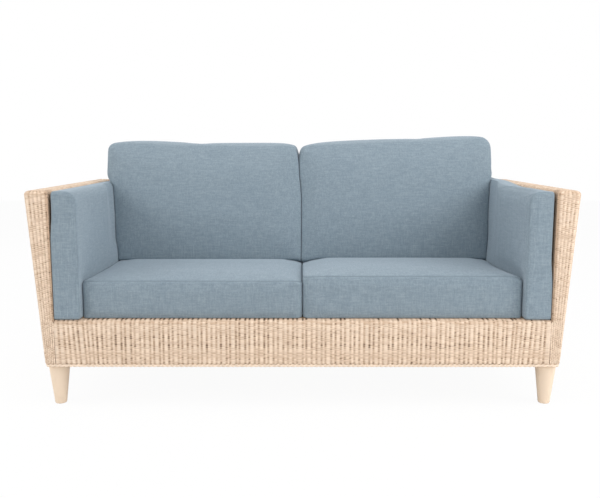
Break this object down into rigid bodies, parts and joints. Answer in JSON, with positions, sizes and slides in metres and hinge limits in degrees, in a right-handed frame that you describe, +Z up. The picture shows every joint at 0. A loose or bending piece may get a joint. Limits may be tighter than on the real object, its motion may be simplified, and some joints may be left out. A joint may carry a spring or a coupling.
{
  "type": "rattan garden sofa",
  "caption": "Long woven rattan sofa with flared walls, turned tapered legs, a slatted deck and loose seat, back and arm cushions.",
  "frame": {"origin": "on the floor, under the middle of the overall box", "axes": "+X along the sofa's length to the right as seen from the front, +Y towards the back, +Z up; the front faces -Y"},
  "size_m": [1.8, 0.88, 0.893],
  "materials": {
    "rattan_weave": "natural split cane, matt, woven",
    "rattan_pole": "natural round rattan, satin",
    "leg_wood": "pale turned hardwood, satin",
    "frame_wood": "planed softwood, unfinished",
    "bolt_steel": "zinc-plated",
    "cushion_fabric": "blue-grey linen weave"
  },
  "bodies": {
    "frame": {"leg_front_right": "leg_wood", "leg_front_left": "leg_wood", "leg_rear_right": "leg_wood", "leg_rear_left": "leg_wood", "hanger_bolt_front_right": "bolt_steel", "hanger_bolt_front_left": "bolt_steel", "hanger_bolt_rear_right": "bolt_steel", "hanger_bolt_rear_left": "bolt_steel", "corner_block_front_right": "frame_wood", "corner_block_front_left": "frame_wood", "corner_block_rear_right": "frame_wood", "corner_block_rear_left": "frame_wood", "arm_rail_outer_right": "rattan_pole", "arm_rail_outer_left": "rattan_pole", "arm_rail_inner_right": "rattan_pole", "arm_rail_inner_left": "rattan_pole", "front_post_right": "rattan_pole", "front_post_left": "rattan_pole", "rear_post_right": "rattan_pole", "rear_post_left": "rattan_pole", "side_rail_right": "rattan_pole", "side_rail_left": "rattan_pole", "inner_post_right": "rattan_pole", "inner_post_left": "rattan_pole", "back_rail_outer": "rattan_pole", "back_rail_inner": "rattan_pole", "apron_rail": "rattan_pole", "seat_rail_front": "rattan_pole", "seat_rail_middle": "rattan_pole", "seat_rail_rear": "rattan_pole", "back_post_right": "rattan_pole", "back_post_left": "rattan_pole", "lower_rail_front": "rattan_pole", "lower_rail_rear": "rattan_pole", "lower_rail_right": "rattan_pole", "lower_rail_left": "rattan_pole", "slat_1": "frame_wood", "slat_2": "frame_wood", "slat_3": "frame_wood", "slat_4": "frame_wood", "slat_5": "frame_wood", "slat_6": "frame_wood", "slat_7": "frame_wood", "slat_8": "frame_wood", "slat_9": "frame_wood", "arm_weave_right": "rattan_weave", "arm_weave_left": "rattan_weave", "back_weave": "rattan_weave", "apron_weave": "rattan_weave", "border_front": "rattan_weave", "border_rear": "rattan_weave", "border_right": "rattan_weave", "border_left": "rattan_weave"},
    "seat_cushion_right": {"seat_cushion_right": "cushion_fabric"},
    "seat_cushion_left": {"seat_cushion_left": "cushion_fabric"},
    "arm_cushion_right": {"arm_cushion_right": "cushion_fabric"},
    "arm_cushion_left": {"arm_cushion_left": "cushion_fabric"},
    "back_cushion_right": {"back_cushion_right": "cushion_fabric"},
    "back_cushion_left": {"back_cushion_left": "cushion_fabric"}
  },
  "joints": [
    {"name": "seat_cushion_right_draw", "type": "slide", "parent": "frame", "child": "seat_cushion_right", "axis": [0, -1, 0], "range_m": [0, 0.8]},
    {"name": "seat_cushion_left_draw", "type": "slide", "parent": "frame", "child": "seat_cushion_left", "axis": [0, -1, 0], "range_m": [0, 0.8]},
    {"name": "arm_cushion_right_draw", "type": "slide", "parent": "frame", "child": "arm_cushion_right", "axis": [0, -1, 0], "range_m": [0, 0.82]},
    {"name": "arm_cushion_left_draw", "type": "slide", "parent": "frame", "child": "arm_cushion_left", "axis": [0, -1, 0], "range_m": [0, 0.82]},
    {"name": "back_cushion_right_lift", "type": "slide", "parent": "frame", "child": "back_cushion_right", "axis": [0, 0, 1], "range_m": [0, 0.5]},
    {"name": "back_cushion_left_lift", "type": "slide", "parent": "frame", "child": "back_cushion_left", "axis": [0, 0, 1], "range_m": [0, 0.5]}
  ]
}
